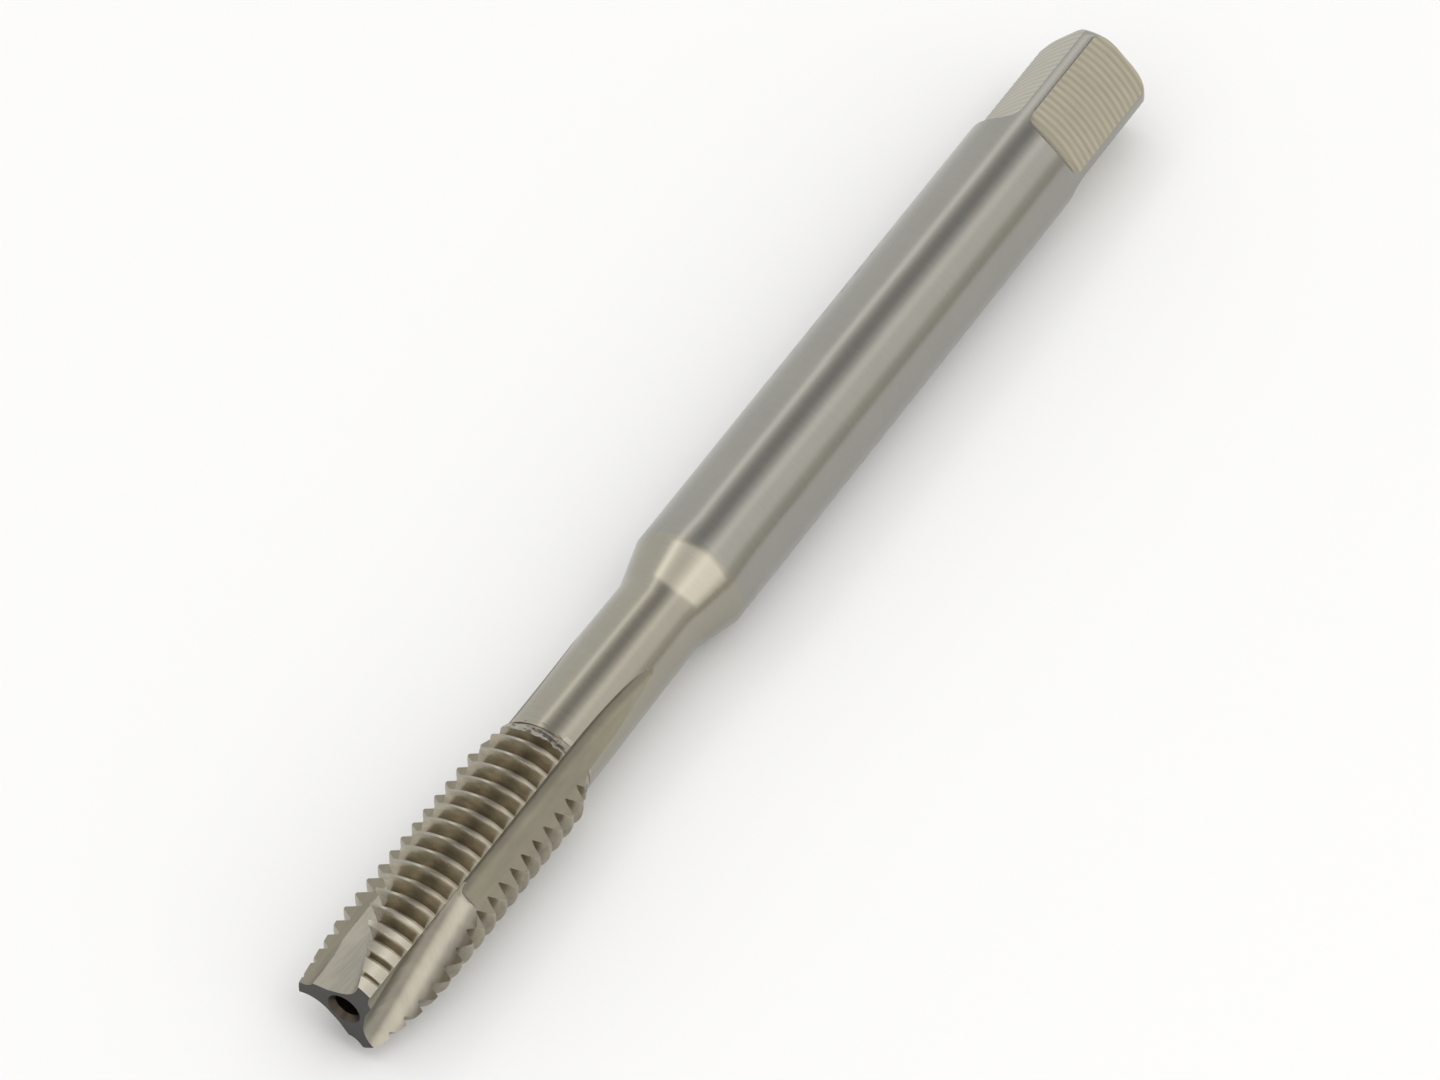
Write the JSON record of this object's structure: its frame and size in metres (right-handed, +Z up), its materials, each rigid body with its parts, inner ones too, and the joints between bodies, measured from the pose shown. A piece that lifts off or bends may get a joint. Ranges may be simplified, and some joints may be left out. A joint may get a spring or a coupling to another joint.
{
  "type": "thread tap",
  "caption": "Machine thread tap with straight flutes, a spiral point, a pointed cutting thread, a slim neck, a round shank and a driving square.",
  "frame": {"origin": "middle of the flat face of the cutting end, on the axis of the tap", "axes": "+X along the axis, from the cutting end to the driving end; +Z up when the tap lies on its shank with one flute underneath; +Y completes the right-handed frame"},
  "size_m": [0.09, 0.008, 0.008],
  "materials": {
    "ground_steel": "satin ground high speed steel"
  },
  "bodies": {
    "root": {"tap": "ground_steel"}
  },
  "joints": []
}
